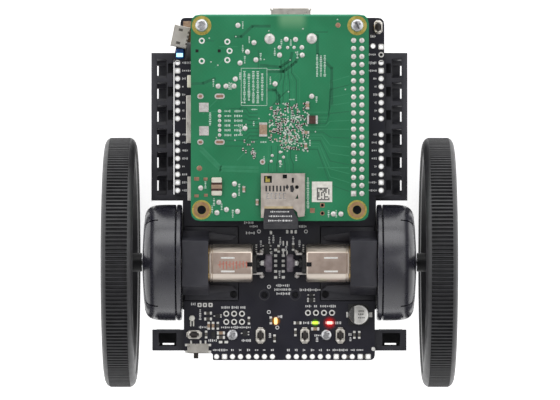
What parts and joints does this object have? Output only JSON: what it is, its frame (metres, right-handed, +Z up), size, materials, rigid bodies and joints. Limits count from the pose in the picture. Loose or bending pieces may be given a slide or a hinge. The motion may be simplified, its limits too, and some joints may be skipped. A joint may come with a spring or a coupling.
{
  "type": "two wheel balancing robot",
  "caption": "Small two-wheel balancing robot: battery chassis between large geared wheels, with a control board and a computer board stacked on its front.",
  "frame": {"origin": "on the floor, under the middle of the robot's outline, as it lies on its back on both tyres and the rear top edge of the battery box", "axes": "+X along the wheel axles to the robot's right side as seen from the front of its boards, +Y towards its top end, +Z up; the boards face up and lean 15 degrees towards +Y"},
  "size_m": [0.1116, 0.1236, 0.08],
  "materials": {
    "chassis_plastic": "fine matt grain, moulded in black",
    "housing_plastic": "smooth gloss black moulding",
    "wheel_plastic": "satin black moulding",
    "tyre_rubber": "matt black ribbed rubber",
    "motor_steel": "nickel plated steel with a warm tint",
    "bearing_steel": "ground steel",
    "gearbox_brass": "machined brass plates",
    "gear_nylon": "moulded nylon",
    "black_board": "black solder mask with tinned pads and white marks",
    "green_board": "green solder mask with tinned pads and white marks",
    "connector_shell": "tinned sheet steel",
    "connector_plastic": "moulded black nylon",
    "card_plastic": "dark grey moulded card",
    "cell_wrap": "printed sleeve over a metal can",
    "can_aluminium": "bright drawn aluminium",
    "screw_steel": "zinc plated steel",
    "key_plastic": "moulded black key"
  },
  "bodies": {
    "robot_body": {"chassis": "chassis_plastic", "control_board": "black_board", "computer_board": "green_board", "header_socket": "connector_plastic", "usb_port": "connector_shell", "hdmi_port": "connector_shell", "audio_jack": "connector_plastic", "power_port": "connector_shell", "card_socket": "connector_shell", "slide_switch_body": "connector_shell", "capacitor": "can_aluminium", "board_usb_port": "connector_shell", "battery_cell_1": "cell_wrap", "battery_cell_2": "cell_wrap", "battery_cell_3": "cell_wrap", "battery_cell_4": "cell_wrap", "battery_cell_5": "cell_wrap", "battery_cell_6": "cell_wrap", "left_battery_contacts": "connector_shell", "left_gearbox_base": "housing_plastic", "left_gearbox_cover": "housing_plastic", "left_bearing_inner": "bearing_steel", "left_bearing_outer": "bearing_steel", "left_motor_clip": "housing_plastic", "left_motor_gearbox": "gearbox_brass", "left_motor_can": "motor_steel", "left_board_screw": "screw_steel", "left_computer_screw": "screw_steel", "left_standoff": "can_aluminium", "right_battery_contacts": "connector_shell", "right_gearbox_base": "housing_plastic", "right_gearbox_cover": "housing_plastic", "right_bearing_inner": "bearing_steel", "right_bearing_outer": "bearing_steel", "right_motor_clip": "housing_plastic", "right_motor_gearbox": "gearbox_brass", "right_motor_can": "motor_steel", "right_board_screw": "screw_steel", "right_computer_screw": "screw_steel", "right_standoff": "can_aluminium"},
    "left_wheel_set": {"left_wheel": "wheel_plastic", "left_tyre": "tyre_rubber", "left_axle": "bearing_steel", "left_output_gear": "gear_nylon"},
    "right_wheel_set": {"right_wheel": "wheel_plastic", "right_tyre": "tyre_rubber", "right_axle": "bearing_steel", "right_output_gear": "gear_nylon"},
    "left_pinion_shaft": {"left_pinion": "gear_nylon"},
    "right_pinion_shaft": {"right_pinion": "gear_nylon"},
    "left_encoder": {"left_encoder_disc": "bearing_steel"},
    "right_encoder": {"right_encoder_disc": "bearing_steel"},
    "battery_lid": {"battery_cover": "chassis_plastic"},
    "card": {"memory_card": "card_plastic"},
    "button_a_key": {"button_a": "key_plastic"},
    "button_b_key": {"button_b": "key_plastic"},
    "button_c_key": {"button_c": "key_plastic"},
    "power_key": {"power_button": "key_plastic"},
    "reset_key": {"reset_button": "key_plastic"},
    "switch_key": {"slide_switch_slider": "key_plastic"}
  },
  "joints": [
    {"name": "left_wheel_spin", "type": "hinge", "parent": "robot_body", "child": "left_wheel_set", "pos_m": [-0.05, -0.02178, 0.04], "axis": [1, 0, 0], "continuous": true},
    {"name": "left_pinion_spin", "type": "hinge", "parent": "robot_body", "child": "left_pinion_shaft", "pos_m": [-0.0357, -0.0176, 0.05596], "axis": [1, 0, 0], "continuous": true},
    {"name": "left_encoder_spin", "type": "hinge", "parent": "robot_body", "child": "left_encoder", "pos_m": [-0.0034, -0.0176, 0.05596], "axis": [1, 0, 0], "continuous": true},
    {"name": "right_wheel_spin", "type": "hinge", "parent": "robot_body", "child": "right_wheel_set", "pos_m": [0.05, -0.02178, 0.04], "axis": [1, 0, 0], "continuous": true},
    {"name": "right_pinion_spin", "type": "hinge", "parent": "robot_body", "child": "right_pinion_shaft", "pos_m": [0.0357, -0.0176, 0.05596], "axis": [1, 0, 0], "continuous": true},
    {"name": "right_encoder_spin", "type": "hinge", "parent": "robot_body", "child": "right_encoder", "pos_m": [0.0034, -0.0176, 0.05596], "axis": [1, 0, 0], "continuous": true},
    {"name": "battery_cover_slide", "type": "slide", "parent": "robot_body", "child": "battery_lid", "axis": [0, -0.9674, 0.2534], "range_m": [0, 0.046]},
    {"name": "memory_card_slide", "type": "slide", "parent": "robot_body", "child": "card", "axis": [0, -0.9674, 0.2534], "range_m": [0, 0.0145]},
    {"name": "button_a_press", "type": "slide", "parent": "robot_body", "child": "button_a_key", "axis": [0, -0.2534, -0.9674], "range_m": [0, 0.00025], "stiffness_N_per_m": 2000, "springref_m": -0.0001},
    {"name": "button_b_press", "type": "slide", "parent": "robot_body", "child": "button_b_key", "axis": [0, -0.2534, -0.9674], "range_m": [0, 0.00025], "stiffness_N_per_m": 2000, "springref_m": -0.0001},
    {"name": "button_c_press", "type": "slide", "parent": "robot_body", "child": "button_c_key", "axis": [0, -0.2534, -0.9674], "range_m": [0, 0.00025], "stiffness_N_per_m": 2000, "springref_m": -0.0001},
    {"name": "power_press", "type": "slide", "parent": "robot_body", "child": "power_key", "axis": [0, -0.2534, -0.9674], "range_m": [0, 0.00025], "stiffness_N_per_m": 2000, "springref_m": -0.0001},
    {"name": "reset_press", "type": "slide", "parent": "robot_body", "child": "reset_key", "axis": [0, -0.2534, -0.9674], "range_m": [0, 0.00025], "stiffness_N_per_m": 2000, "springref_m": -0.0001},
    {"name": "slide_switch_travel", "type": "slide", "parent": "robot_body", "child": "switch_key", "axis": [1, 0, 0], "range_m": [0, 0.0015]}
  ],
  "couplings": [
    {"joint": "left_pinion_spin", "follows": "left_wheel_spin", "ratio": -1.64},
    {"joint": "left_encoder_spin", "follows": "left_wheel_spin", "ratio": -48.97},
    {"joint": "right_pinion_spin", "follows": "right_wheel_spin", "ratio": -1.64},
    {"joint": "right_encoder_spin", "follows": "right_wheel_spin", "ratio": -48.97}
  ]
}
